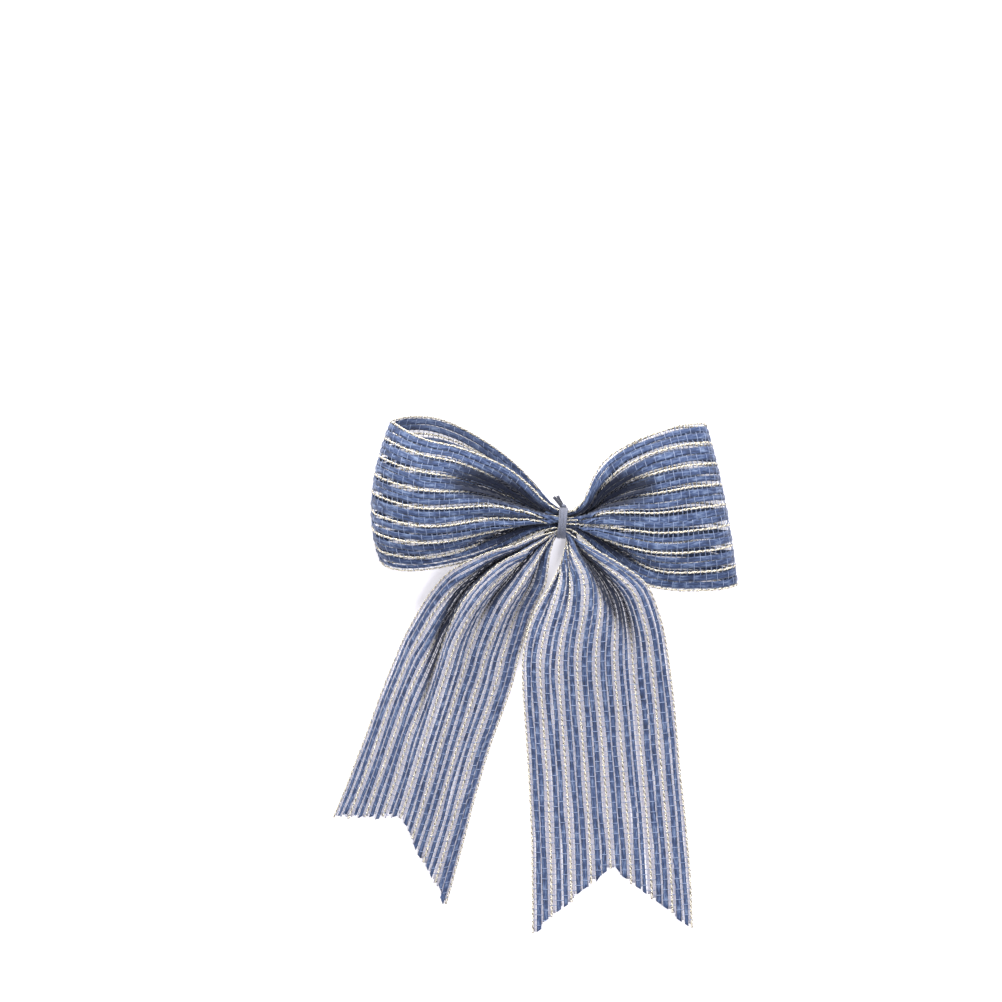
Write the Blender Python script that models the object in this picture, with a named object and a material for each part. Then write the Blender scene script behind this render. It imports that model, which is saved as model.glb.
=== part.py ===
"""A pre-made ribbon bow lying on its back, gathered at the waist and tied with yarn. Metres, +Z up."""

import math

import bmesh
import bpy
import numpy as np

MM = 0.001

# Overall sizes
BOW_WIDTH = 141 * MM  # across both loops, left fold to right fold
TAIL_LENGTH = 158 * MM  # from the tie down to the longest tail tip
LOOP_DEPTH = 23 * MM  # height of the left loop's front layer off the table

# Ribbon
SHEET = 0.8 * MM  # thickness of one layer
PLEAT_DEPTH = 3.0 * MM  # crest to trough of the pleats beside the waist
LAYER_CLEAR = 0.6 * MM  # between two layers of ribbon beside the waist
TABLE_CLEAR = 0.3 * MM  # under a layer that lies on the table

# Waist and tie
BUNDLE_HEIGHT = 9.6 * MM  # gathered ribbon under the tie, along Y
BUNDLE_DEPTH = 8.6 * MM  # the same, along Z
TIE_WIDTH = 3.3 * MM
STRAND = 1.1 * MM  # one turn of yarn
STRANDS = 3
TIE_CLEAR = 0.3 * MM
TIE_FLAT = 0.6 * MM  # yarn pressed flat on the table under the waist
PLEAT_CREST = 1.05  # the bundle's ridges, over its plain outline
TIE_LEAN = 5.0  # degrees, top towards +X
END_LENGTH = 4.6 * MM  # the yarn's cut ends

# Hinges
HINGE_RADIUS = 7.5 * MM  # the waist ends on this cylinder about Z
HINGE_CLEAR = 0.3 * MM

# The tables below are drawn at these sizes, and the sizes above stretch them.
DRAWN_WIDTH = 141 * MM
DRAWN_TAIL = 158 * MM
DRAWN_DEPTH = 23 * MM
DRAWN_TAIL_BEND = 60 * MM  # the tails lie free of the loops beyond this, and take up a change in length there

ACROSS = 16  # steps from selvedge to selvedge
LOOP_STEPS = 34
TAIL_STEPS = 22
SECTION_RADIUS = HINGE_RADIUS + HINGE_CLEAR
REST_HEIGHT = SHEET / 2 + TABLE_CLEAR
BACK_NECK = REST_HEIGHT + PLEAT_DEPTH / 2 + LAYER_CLEAR
FRONT_NECK = BACK_NECK + PLEAT_DEPTH + SHEET + LAYER_CLEAR
INNER_Z = BUNDLE_DEPTH / 2 * PLEAT_CREST + TIE_CLEAR
BUNDLE_Z = INNER_Z + TIE_FLAT

# Each rib runs across the ribbon through three points: first selvedge, middle, second selvedge, in mm. The third
# number of a point is its height over the layer's own level. The last value is the share of the full pleat depth.
LEFT_FRONT = (
    ((-14, -6.2, -1.2), (-14.5, 4, 3.0), (-13.9, 16.8, 0.6), 1.0),
    ((-22, -10.3, -1.0), (-24, 5, 6.0), (-23.9, 22.2, 3.0), 0.9),
    ((-31, -13.6, -0.2), (-34, 6, 10.0), (-33, 26.4, 6.0), 0.7),
    ((-41, -15.9, 0.4), (-44.5, 7, 14.0), (-44, 29.8, 9.0), 0.5),
    ((-51, -18, 2.4), (-55, 8, 16.0), (-54, 32.4, 10.0), 0.35),
    ((-60, -18.4, 4.2), (-64, 9, 14.0), (-60.5, 35.6, 8.6), 0.2),
    ((-66.5, -17, 2.6), (-71, 9.5, 8.6), (-64.3, 38, 5.0), 0.15),
)
LEFT_FOLD = ((-69.5, -14.5, 6.2), (-72.8, 9.5, 8.2), (-65.4, 38.5, 7.2), 0.1)
LEFT_BACK = (
    ((-67, -15.5, 2.6), (-70.5, 9.5, 3.2), (-63.5, 39.3, 3.4), 0.1),
    ((-60, -17.5, 0.4), (-63, 10, 0.4), (-58, 40.4, 1.0), 0.1),
    ((-50, -17.6, 0), (-52, 10, 0), (-49, 39.9, 0.5), 0.1),
    ((-40, -15.5, 0), (-41, 9.5, 0.2), (-40, 36.7, 0.6), 0.15),
    ((-30, -12.6, 0.3), (-31, 8, 0.5), (-30, 31.2, 1.0), 0.3),
    ((-21, -9.5, 0.8), (-21.5, 6.5, 1.0), (-21, 25, 1.5), 0.55),
    ((-13.5, -6, 1.4), (-14, 5, 1.9), (-13.5, 18, 2.0), 0.8),
)
RIGHT_FRONT = (
    ((13, -11.2, -2.0), (14.5, 3, 3.0), (12.8, 19.5, 0.6), 1.0),
    ((22, -18.8, -1.8), (24, 3.5, 5.0), (20, 27.2, 2.4), 0.9),
    ((31, -24, -0.8), (34, 4, 7.6), (30, 32.2, 4.0), 0.7),
    ((42, -26, 1.6), (44, 5, 10.0), (41, 36, 5.5), 0.5),
    ((52, -26.2, 3.0), (50, 5.2, 10.0), (44.5, 36.8, 5.5), 0.3),
    ((60, -25.8, 3.0), (56.5, 6, 8.5), (50.5, 37.6, 5.0), 0.2),
    ((65.2, -24.6, 1.5), (60.8, 6.5, 5.0), (53.8, 37.6, 2.5), 0.15),
)
RIGHT_FOLD = ((66.8, -23.8, 4.7), (62.2, 7, 6.7), (54.9, 36.6, 5.7), 0.1)
RIGHT_BACK = (
    ((64.5, -24.4, 1.4), (60, 6.8, 2.0), (53, 36.8, 2.2), 0.1),
    ((57, -25, 0.1), (53, 6, 0.1), (46, 36, 0.4), 0.1),
    ((47, -25, 0), (44, 5.5, 0), (37.5, 33.6, 0.2), 0.1),
    ((37, -24, 0.1), (34.5, 4.8, 0.1), (29, 30, 0.4), 0.15),
    ((27, -20.3, 0.4), (25, 4, 0.6), (21, 25.5, 1.0), 0.3),
    ((18, -15, 0.9), (17, 3.4, 1.2), (14.5, 19.3, 1.6), 0.55),
    ((12.5, -10.6, 1.4), (12, 3, 1.9), (10.8, 13.4, 2.0), 0.8),
)
LEFT_TAIL = (
    ((-12.5, -6.6, 1.6), (-10.5, -9.5, 1.2), (-6.0, -13.5, -1.4), 1.0),
    ((-18, -8.8, 2.6), (-14.5, -14, 2.4), (-6.6, -19, -2.6), 0.8),
    ((-26, -10.8, 3.4), (-20.5, -20, 3.4), (-8.0, -25, -4.0), 0.55),
    ((-34, -13.9, 4.6), (-26, -27, 4.0), (-11.2, -33.5, -4.8), 0.35),
    ((-43.4, -18.7, 4.8), (-33, -36.5, 3.0), (-14, -42.5, -5.2), 0.25),
    ((-51, -27.5, 1.6), (-38.5, -46, 1.0), (-16.6, -51.5, -5.6), 0.15),
    ((-57, -37, -1.2), (-43, -55, -1.0), (-19, -61, -5.9), 0.1),
    ((-62.5, -47.5, -3.2), (-47, -65, -2.6), (-22, -71, -6.1), 0.1),
    ((-69.5, -65, -5.0), (-52.5, -82, -4.0), (-27.5, -86, -6.3), 0.08),
    ((-77, -86, -6.0), (-58.5, -102, -5.0), (-33, -104, -6.4), 0.06),
    ((-84, -104, -6.4), (-63.5, -121, -6.0), (-38, -123, -6.4), 0.05),
    ((-92, -125, -6.4), (-70.5, -147, -6.4), (-45.2, -150, -6.4), 0.05),
)
RIGHT_TAIL = (
    ((-0.6, -14.2, 1.2), (5.5, -12.5, 3.2), (12, -10.6, 2.6), 1.0),
    ((-2.8, -19.6, 1.4), (8, -18, 4.0), (20, -14.9, 3.6), 0.8),
    ((-5.6, -25, 1.2), (10, -25, 4.4), (27.5, -19.6, 4.2), 0.55),
    ((-9.6, -31.6, 0.8), (11.5, -33, 4.0), (33.2, -25.2, 3.8), 0.35),
    ((-13.4, -41, 0.2), (12.5, -43, 2.8), (37.8, -38, 2.0), 0.25),
    ((-15.4, -52, -0.8), (13, -54, 1.0), (40.6, -51, -0.6), 0.15),
    ((-15.2, -63, -2.2), (13.5, -65, -1.2), (42.4, -63, -2.8), 0.1),
    ((-14.4, -76, -3.8), (14, -78, -3.2), (43.8, -76, -4.4), 0.1),
    ((-13.2, -96, -5.6), (15, -97, -5.2), (45.5, -96, -6.0), 0.06),
    ((-12.2, -118, -6.3), (16, -119, -6.1), (47.8, -118, -6.4), 0.05),
    ((-11.8, -140, -6.4), (17, -141, -6.3), (49.6, -140, -6.4), 0.05),
    ((-11.7, -163, -6.4), (17, -164, -6.4), (50.3, -163, -6.4), 0.05),
)
# Where each tail's V cut crosses its first selvedge, its middle and its second selvedge, as Y in mm
LEFT_CUT = (-113, -113, -147.3)
RIGHT_CUT = (-157.8, -132.2, -156)
# Directions in degrees, about the tie, in which each layer leaves the waist: first selvedge, middle, second
LEFT_LOOP_FAN = (202, 167, 130)
RIGHT_LOOP_FAN = (-42, 0, 47)
LEFT_TAIL_FAN = (215, 229, 243)
RIGHT_TAIL_FAN = (-86, -72, -58)
PLEATS = 3
RIDGES = 6  # around the gathered bundle


def plan(x, y):
    """A drawn point in metres, stretched to the bow's width, and to the tails' length beyond the loops."""
    wide = BOW_WIDTH / DRAWN_WIDTH
    below = min(0.0, y * MM + DRAWN_TAIL_BEND)
    longer = (TAIL_LENGTH - DRAWN_TAIL_BEND) / (DRAWN_TAIL - DRAWN_TAIL_BEND)
    return x * MM * wide, (y * MM - below) * wide + below * longer


def rib_points(rib, level, side=1):
    """The three points of a rib, and its pleat amplitude, turned over by side so that stacked layers nest."""
    rise = LOOP_DEPTH / DRAWN_DEPTH
    points = []
    for x, y, z in rib[:3]:
        px, py = plan(x, y)
        points.append((px, py, max(REST_HEIGHT, level + z * MM * rise)))
    return points, side * rib[3] * PLEAT_DEPTH / 2


def neck_rib(fan, level, side=1):
    """The rib on the hinge cylinder, where the ribbon leaves the waist."""
    points = []
    for angle in fan:
        turn = math.radians(angle)
        points.append((SECTION_RADIUS * math.cos(turn), SECTION_RADIUS * math.sin(turn), level))
    return points, side * PLEAT_DEPTH / 2


def smooth(values, at):
    """Catmull-Rom through evenly numbered values."""
    last = len(values) - 1
    k = min(int(at), last - 1)
    t = at - k
    p0, p1, p2, p3 = (values[min(max(i, 0), last)] for i in (k - 1, k, k + 1, k + 2))
    straight = 2 * p1 + (p2 - p0) * t
    curved = (2 * p0 - 5 * p1 + 4 * p2 - p3) * t**2 + (3 * p1 - p0 - 3 * p2 + p3) * t**3
    return 0.5 * (straight + curved)


def across_rib(points, v):
    """The parabola through a rib's three points, from 0 at the first selvedge to 1 at the second."""
    first, middle, second = points
    return first * (1 - v) * (1 - 2 * v) + middle * 4 * v * (1 - v) + second * v * (2 * v - 1)


def surface_point(ribs, depths, at, v):
    """A point of the layer's middle surface with its pleats left out, and the pleat's height there."""
    points = smooth(ribs, at)
    pleat = smooth(depths, at) * math.sin(2 * math.pi * PLEATS * v)
    return across_rib(points, v), pleat


def cut_stations(ribs, cut):
    """How far along its ribs each thread of a tail runs before the V cut ends it."""
    heights = [plan(0, y)[1] for y in cut]
    ends = []
    for column in range(ACROSS + 1):
        v = column / ACROSS
        if v < 0.5:
            height = heights[0] + (heights[1] - heights[0]) * v * 2
        else:
            height = heights[1] + (heights[2] - heights[1]) * (v * 2 - 1)
        low, high = 1.0, len(ribs) - 1.0
        for _ in range(30):
            middle = (low + high) / 2
            above = across_rib(smooth(ribs, middle), v)[1] > height
            low, high = (middle, high) if above else (low, middle)
        ends.append(low)
    return ends


def sheet_grid(ribs, depths, steps, ends):
    """Rows of points along the ribbon, pleated along the surface's own normals."""
    flat = np.zeros((steps + 1, ACROSS + 1, 3))
    pleats = np.zeros((steps + 1, ACROSS + 1))
    for row in range(steps + 1):
        for column in range(ACROSS + 1):
            at = ends[column] * row / steps
            flat[row, column], pleats[row, column] = surface_point(ribs, depths, at, column / ACROSS)
    return flat + grid_normals(flat) * pleats[:, :, None]


def grid_normals(grid):
    along = np.gradient(grid, axis=0)
    across = np.gradient(grid, axis=1)
    normals = np.cross(along, across)
    return normals / np.linalg.norm(normals, axis=2, keepdims=True)


def on_cylinder(points, radius):
    """The same points moved straight in or out to the hinge cylinder."""
    flat = points.copy()
    flat[:, :2] *= (radius / np.linalg.norm(points[:, :2], axis=1))[:, None]
    return flat


def closed_sheet(name, grid, on_neck):
    """A sheet of even thickness about the grid, with the rows in on_neck ending on the hinge cylinder."""
    normals = grid_normals(grid)
    sides = [grid + normals * SHEET / 2, grid - normals * SHEET / 2]
    for side in sides:
        for row in on_neck:
            side[row] = on_cylinder(side[row], SECTION_RADIUS)
    rows, columns = grid.shape[:2]
    mesh = bmesh.new()
    top, low = ([[mesh.verts.new(point) for point in line] for line in side] for side in sides)
    for i in range(rows - 1):
        for j in range(columns - 1):
            mesh.faces.new((top[i][j], top[i + 1][j], top[i + 1][j + 1], top[i][j + 1]))
            mesh.faces.new((low[i][j], low[i][j + 1], low[i + 1][j + 1], low[i + 1][j]))
    for i in range(rows - 1):
        mesh.faces.new((top[i][0], low[i][0], low[i + 1][0], top[i + 1][0]))
        mesh.faces.new((top[i][-1], top[i + 1][-1], low[i + 1][-1], low[i][-1]))
    for j in range(columns - 1):
        mesh.faces.new((top[0][j], top[0][j + 1], low[0][j + 1], low[0][j]))
        mesh.faces.new((top[-1][j], low[-1][j], low[-1][j + 1], top[-1][j + 1]))
    return finished(name, mesh)


def finished(name, mesh):
    """The mesh as an object, with its faces pointing outwards."""
    bmesh.ops.recalc_face_normals(mesh, faces=mesh.faces)
    if mesh.calc_volume(signed=True) < 0:
        bmesh.ops.reverse_faces(mesh, faces=mesh.faces)
    bmesh.ops.triangulate(mesh, faces=mesh.faces)
    data = bpy.data.meshes.new(name)
    mesh.to_mesh(data)
    mesh.free()
    made = bpy.data.objects.new(name, data)
    bpy.context.scene.collection.objects.link(made)
    return made


def loop(name, front, fold, back, fan):
    """A tube of ribbon from the waist, out along the front, round the end fold and back along the table."""
    fold_level = REST_HEIGHT
    sections = [neck_rib(fan, FRONT_NECK)]
    sections += [rib_points(rib, FRONT_NECK) for rib in front]
    sections.append(rib_points(fold, fold_level))
    sections += [rib_points(rib, REST_HEIGHT, -1) for rib in back]
    sections.append(neck_rib(fan, BACK_NECK, -1))
    ribs = [np.array(points) for points, _ in sections]
    depths = [depth for _, depth in sections]
    grid = sheet_grid(ribs, depths, LOOP_STEPS, [len(ribs) - 1.0] * (ACROSS + 1))
    return closed_sheet(name, grid, (0, -1))


def tail(name, table, cut, fan):
    """A single layer from the waist, over the loop's lower edge and down to the table, ended by a V cut."""
    sections = [neck_rib(fan, FRONT_NECK - LAYER_CLEAR)]
    sections += [rib_points(rib, FRONT_NECK) for rib in table]
    ribs = [np.array(points) for points, _ in sections]
    depths = [depth for _, depth in sections]
    grid = sheet_grid(ribs, depths, TAIL_STEPS, cut_stations(ribs, cut))
    return closed_sheet(name, grid, (0,))


def ring(mesh, x, centre_y, half_y, centre_z, half_z, points):
    """One closed cross-section of the bundle, in a plane of constant X."""
    made = []
    for k in range(points):
        turn = 2 * math.pi * k / points
        swell = 1 + (PLEAT_CREST - 1) * math.cos(turn * RIDGES)
        y = centre_y + half_y * swell * math.cos(turn)
        z = centre_z + half_z * swell * math.sin(turn)
        made.append(mesh.verts.new((x, y, max(z, centre_z - half_z))))
    return made


def bridge(mesh, first, second):
    count = len(first)
    for k in range(count):
        mesh.faces.new((first[k], first[(k + 1) % count], second[(k + 1) % count], second[k]))


def hinge_cylinder():
    """The cutter that ends the waist on the hinge cylinder."""
    mesh = bmesh.new()
    bmesh.ops.create_cone(
        mesh, cap_ends=True, segments=96, radius1=HINGE_RADIUS, radius2=HINGE_RADIUS, depth=60 * MM
    )
    cutter = finished("hinge_cylinder", mesh)
    cutter.hide_render = True
    cutter.display_type = "WIRE"
    return cutter


def waist():
    """The gathered middle of the ribbon: narrow under the tie, flaring to the layers on both sides."""
    reach = HINGE_RADIUS * 1.1
    pinch = TIE_WIDTH / 2 + 2 * TIE_CLEAR
    wide = BUNDLE_HEIGHT / 2
    # Distance from the tie, lowest Y, highest Y, share of the flare in depth
    stations = (
        (-reach, -wide * 1.75, wide * 1.55, 1.0),
        (-HINGE_RADIUS * 0.72, -wide * 1.4, wide * 1.3, 0.6),
        (-pinch, -wide, wide, 0.0),
        (pinch, -wide, wide, 0.0),
        (HINGE_RADIUS * 0.72, -wide * 1.5, wide * 1.25, 0.6),
        (reach, -wide * 1.75, wide * 1.5, 1.0),
    )
    layers_low = BACK_NECK - PLEAT_DEPTH / 2
    layers_high = FRONT_NECK + PLEAT_DEPTH / 2
    bundle_low = BUNDLE_Z - BUNDLE_DEPTH / 2
    bundle_high = BUNDLE_Z + BUNDLE_DEPTH / 2
    mesh = bmesh.new()
    rings = []
    for x, low_y, high_y, flare in stations:
        low_z = bundle_low + (layers_low - bundle_low) * flare
        high_z = bundle_high + (layers_high - bundle_high) * flare
        size = ((high_y - low_y) / 2, (low_z + high_z) / 2, (high_z - low_z) / 2)
        rings.append(ring(mesh, x, (low_y + high_y) / 2, *size, 36))
    for first, second in zip(rings, rings[1:]):
        bridge(mesh, first, second)
    mesh.faces.new(rings[0])
    mesh.faces.new(rings[-1])
    body = finished("waist", mesh)
    cut = body.modifiers.new("end_on_hinge_cylinder", "BOOLEAN")
    cut.operation = "INTERSECT"
    cut.solver = "EXACT"
    cut.object = hinge_cylinder()
    return body


def leaned(point):
    """A point turned about Z by the tie's lean."""
    turn = -math.radians(TIE_LEAN)
    x, y, z = point
    return x * math.cos(turn) - y * math.sin(turn), x * math.sin(turn) + y * math.cos(turn), z


def lean_clear():
    """Room for the corners of the tie, which swing inwards as it leans."""
    return TIE_WIDTH / 2 * math.sin(math.radians(TIE_LEAN))


def tie_winding():
    """Turns of yarn side by side around the waist: round backed, with a flat inside and a flat underside."""
    around = 36
    inner_y = BUNDLE_HEIGHT / 2 * PLEAT_CREST + lean_clear() + TIE_CLEAR
    profile = [(-TIE_WIDTH / 2, 0.0)]
    for strand in range(STRANDS):
        for share in (0.12, 0.5, 0.88):
            x = TIE_WIDTH * ((strand + share) / STRANDS - 0.5)
            profile.append((x, STRAND * (1.0 if share == 0.5 else 0.72)))
    profile.append((TIE_WIDTH / 2, 0.0))
    mesh = bmesh.new()
    rings = []
    for k in range(around):
        turn = 2 * math.pi * k / around
        line = []
        for x, out in profile:
            y = (inner_y + out) * math.cos(turn)
            z = BUNDLE_Z + (INNER_Z + out) * math.sin(turn)
            line.append(mesh.verts.new(leaned((x, y, max(z, 0.0)))))
        rings.append(line)
    for k in range(around):
        bridge(mesh, rings[k], rings[(k + 1) % around])
    return finished("tie_winding", mesh)


def yarn_end(mesh, start, finish, radius):
    """A short round length of yarn from start to finish, as a closed body."""
    way = np.array(finish) - np.array(start)
    length = float(np.linalg.norm(way))
    way /= length
    side = np.cross(way, (0, 0, 1.0))
    side /= np.linalg.norm(side)
    up = np.cross(side, way)
    rings = []
    for share, size in ((0, 1), (0.5, 1), (0.92, 0.95), (1, 0.6)):
        line = []
        for k in range(10):
            turn = 2 * math.pi * k / 10
            offset = (side * math.cos(turn) + up * math.sin(turn)) * radius * size
            line.append(mesh.verts.new(np.array(start) + way * length * share + offset))
        rings.append(line)
    for first, second in zip(rings, rings[1:]):
        bridge(mesh, first, second)
    mesh.faces.new(rings[0])
    mesh.faces.new(rings[-1])


def tie_knot():
    """The knot beyond the winding's upper end, with two cut ends standing up to the left."""
    top = BUNDLE_HEIGHT / 2 * PLEAT_CREST + TIE_CLEAR + STRAND
    radius = STRAND * 0.95
    centre = leaned((0, top + radius + TIE_CLEAR + lean_clear(), BUNDLE_Z))
    mesh = bmesh.new()
    bmesh.ops.create_icosphere(mesh, subdivisions=2, radius=radius)
    for vert in mesh.verts:
        vert.co.z *= 1.5
        vert.co.x *= 1.2
        vert.co += type(vert.co)(centre)
    knot = finished("tie_knot", mesh)
    for number, (across, lift) in enumerate(((-2.4, 0.8), (-1.0, -0.8))):
        end = bmesh.new()
        start = (centre[0], centre[1], centre[2] + lift * MM * 0.4)
        finish = (centre[0] + across * MM, centre[1] + END_LENGTH, centre[2] + lift * MM)
        yarn_end(end, start, finish, STRAND / 2)
        helper = finished(f"yarn_end_{number}", end)
        helper.hide_render = True
        helper.display_type = "WIRE"
        join = knot.modifiers.new(f"end_{number}", "BOOLEAN")
        join.operation = "UNION"
        join.solver = "EXACT"
        join.object = helper
    return knot


def material(name, colour, roughness, metallic):
    made = bpy.data.materials.new(name)
    made.use_nodes = True
    shader = made.node_tree.nodes["Principled BSDF"]
    shader.inputs["Base Color"].default_value = (*colour, 1)
    shader.inputs["Roughness"].default_value = roughness
    shader.inputs["Metallic"].default_value = metallic
    return made


def main():
    for old in list(bpy.data.objects):
        bpy.data.objects.remove(old)
    pieces = {
        "waist": (waist(), (0.06, 0.11, 0.27)),
        "left_loop": (loop("left_loop", LEFT_FRONT, LEFT_FOLD, LEFT_BACK, LEFT_LOOP_FAN), (0.09, 0.16, 0.34)),
        "right_loop": (
            loop("right_loop", RIGHT_FRONT, RIGHT_FOLD, RIGHT_BACK, RIGHT_LOOP_FAN),
            (0.1, 0.17, 0.36),
        ),
        "left_tail": (tail("left_tail", LEFT_TAIL, LEFT_CUT, LEFT_TAIL_FAN), (0.13, 0.2, 0.4)),
        "right_tail": (tail("right_tail", RIGHT_TAIL, RIGHT_CUT, RIGHT_TAIL_FAN), (0.14, 0.22, 0.42)),
        "tie_winding": (tie_winding(), (0.19, 0.19, 0.27)),
        "tie_knot": (tie_knot(), (0.05, 0.05, 0.06)),
    }
    for name, (piece, colour) in pieces.items():
        piece.data.materials.append(material(name, colour, 0.8, 0.0))


main()
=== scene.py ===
# A pre-made gift bow lying on its back: open-weave ribbon with gold threads, gathered and tied with slate yarn.
import math

import bpy
import numpy as np
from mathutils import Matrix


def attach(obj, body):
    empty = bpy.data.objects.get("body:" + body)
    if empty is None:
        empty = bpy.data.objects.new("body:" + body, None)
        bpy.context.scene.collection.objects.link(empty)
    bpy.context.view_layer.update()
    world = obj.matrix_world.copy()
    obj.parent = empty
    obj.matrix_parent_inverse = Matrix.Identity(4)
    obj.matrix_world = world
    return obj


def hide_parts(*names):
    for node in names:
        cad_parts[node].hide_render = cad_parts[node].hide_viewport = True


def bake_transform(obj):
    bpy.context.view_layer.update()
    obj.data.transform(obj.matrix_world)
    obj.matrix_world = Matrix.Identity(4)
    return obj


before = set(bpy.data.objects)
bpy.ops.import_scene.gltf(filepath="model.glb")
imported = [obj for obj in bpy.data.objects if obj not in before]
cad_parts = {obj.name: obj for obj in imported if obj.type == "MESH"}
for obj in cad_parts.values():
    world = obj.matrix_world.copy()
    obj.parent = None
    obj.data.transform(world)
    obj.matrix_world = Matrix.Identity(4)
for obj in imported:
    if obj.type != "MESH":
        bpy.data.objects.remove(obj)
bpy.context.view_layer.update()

mm = 0.001
tableGap = 0.02 * mm  # nothing comes nearer to the table than this
tiny = 1e-12  # keeps a division by a length from failing


# ---- small helpers ----

def linearColour(hexColour):
    # sRGB hex to the linear colour that shaders use
    values = [int(hexColour[i:i + 2], 16) / 255 for i in (1, 3, 5)]
    return tuple(v / 12.92 if v <= 0.04045 else ((v + 0.055) / 1.055) ** 2.4 for v in values) + (1.0,)


def addNode(tree, kind, settings=None, links=None):
    # settings go to the node's own properties, or to its inputs by name or number; links join inputs to outputs
    node = tree.nodes.new(kind)
    for key, value in (settings or {}).items():
        if isinstance(key, str) and hasattr(node, key):
            setattr(node, key, value)
        else:
            node.inputs[key].default_value = value
    for key, output in (links or {}).items():
        tree.links.new(output, node.inputs[key])
    return node


def newMaterial(name):
    material = bpy.data.materials.new(name)
    material.use_nodes = True
    return material, material.node_tree, material.node_tree.nodes["Principled BSDF"]


# ---- materials ----

def darkenInFolds(tree, shader, colour):
    # painted shade, a stand-in for light trapped between fibres finer than the tubes:
    # it follows each point's painted shade amount, not the lamps
    look = {"trapped": "#0f1832", "starts": 0.05, "full": 0.55, "most": 0.95}
    fold = addNode(tree, "ShaderNodeAttribute", {"attribute_name": "paintedShade"})
    limits = {"From Min": look["starts"], "From Max": look["full"], "To Min": 0.0, "To Max": look["most"]}
    share = addNode(tree, "ShaderNodeMapRange", limits, {"Value": fold.outputs["Fac"]})
    mixed = addNode(tree, "ShaderNodeMixRGB", {"Color2": linearColour(look["trapped"])},
                    {"Fac": share.outputs["Result"], "Color1": colour})
    tree.links.new(mixed.outputs["Color"], shader.inputs["Base Color"])


def threadNoise(tree, stretch, settings):
    # threadMap runs in millimetres along a thread, and once round it on top of the thread's own number
    uv = addNode(tree, "ShaderNodeUVMap", {"uv_map": "threadMap"})
    place = addNode(tree, "ShaderNodeMapping", {"Scale": stretch + (1.0,)}, {"Vector": uv.outputs["UV"]})
    return addNode(tree, "ShaderNodeTexNoise", settings, {"Vector": place.outputs["Vector"]})


def rampBetween(tree, value, low, high):
    # low and high are each a place on the ramp and its colour
    ramp = addNode(tree, "ShaderNodeValToRGB", None, {"Fac": value})
    for element, (place, colour) in zip(ramp.color_ramp.elements, (low, high)):
        element.position = place
        element.color = linearColour(colour)
    return ramp


def addBump(tree, shader, height, strength, distance):
    bump = addNode(tree, "ShaderNodeBump", {"Strength": strength, "Distance": distance}, {"Height": height})
    tree.links.new(bump.outputs["Normal"], shader.inputs["Normal"])


def setInputs(shader, values):
    for name, value in values.items():
        shader.inputs[name].default_value = value


def grainyThread(name, look):
    # one noise along the thread gives its two colours and, where there is one, its bump
    material, tree, shader = newMaterial(name)
    noise = threadNoise(tree, look["stretch"], {"Scale": look["scale"], "Detail": look["detail"]})
    ramp = rampBetween(tree, noise.outputs["Fac"], look["low"], look["high"])
    if "bump" in look:
        addBump(tree, shader, noise.outputs["Fac"], *look["bump"])
    darkenInFolds(tree, shader, ramp.outputs["Color"])
    setInputs(shader, look["surface"])
    return material


def rayonYarn():
    # Flat untwisted rayon tape yarn: matt, with fibres along it that split light into fine streaks
    look = {"dark": "#171f37", "middle": "#3a4e79", "pale": "#8193b5", "patchMm": 6.0, "streakShare": 0.74}
    material, tree, shader = newMaterial("rayonYarn")
    streaks = threadNoise(tree, (0.12, 3.4), {"Scale": 2.2, "Detail": 5.0, "Roughness": 0.65})
    patches = threadNoise(tree, (1 / look["patchMm"], 0.9), {"Scale": 1.0, "Detail": 2.0})
    part = addNode(tree, "ShaderNodeMath", {"operation": "MULTIPLY_ADD", 1: look["streakShare"], 2: 0.0},
                   {0: streaks.outputs["Fac"]})
    total = addNode(tree, "ShaderNodeMath", {"operation": "MULTIPLY_ADD", 1: 1 - look["streakShare"]},
                    {0: patches.outputs["Fac"], 2: part.outputs["Value"]})
    ramp = rampBetween(tree, total.outputs["Value"], (0.34, look["dark"]), (0.64, look["pale"]))
    ramp.color_ramp.elements.new(0.5).color = linearColour(look["middle"])
    addBump(tree, shader, streaks.outputs["Fac"], 0.55, 0.0002)
    darkenInFolds(tree, shader, ramp.outputs["Color"])
    setInputs(shader, {"Roughness": 0.72, "Sheen Weight": 0.25, "Sheen Roughness": 0.5})
    return material


def nylonWeft():
    # Fine pale nylon multifilament: soft gloss, so each float over a yarn catches a small light
    return grainyThread("nylonWeft", {
        "low": (0.35, "#6f80ab"), "high": (0.6, "#aebbd8"),
        "stretch": (0.35, 3.0), "scale": 1.6, "detail": 3.0, "surface": {"Roughness": 0.4}})


def nylonGroundAndPaintedShade():
    # Sheer lilac nylon filaments beside each gold thread: a soft greyish veil, never as bright as the foil;
    # their grey is partly painted shade, the table's shade seen through the tails' gaps
    return grainyThread("nylonGroundAndPaintedShade", {
        "low": (0.35, "#a9a6b8"), "high": (0.6, "#d3cfdc"),
        "stretch": (0.3, 4.0), "scale": 1.5, "detail": 3.0, "surface": {"Roughness": 0.55}})


def metallizedFoil():
    # Slit metallized polyester film in pale gold: a crinkled mirror, so it glints white beside near-black; the
    # dark brown low end of its colour is a painted dark reflection that adds to the glints from its bump
    return grainyThread("metallizedFoil", {
        "low": (0.3, "#6f6350"), "high": (0.55, "#f1e8d2"), "bump": (0.8, 0.0003),
        "stretch": (1.6, 3.0), "scale": 1.0, "detail": 3.0, "surface": {"Metallic": 1.0, "Roughness": 0.24}})


def creamPly():
    # Cream polyester support ply twisted with the foil: matt and slightly warm
    return grainyThread("creamPly", {
        "low": (0.35, "#d3c9b6"), "high": (0.6, "#fbf6ea"),
        "stretch": (1.2, 3.0), "scale": 2.0, "detail": 3.0, "surface": {"Roughness": 0.5}})


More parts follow.
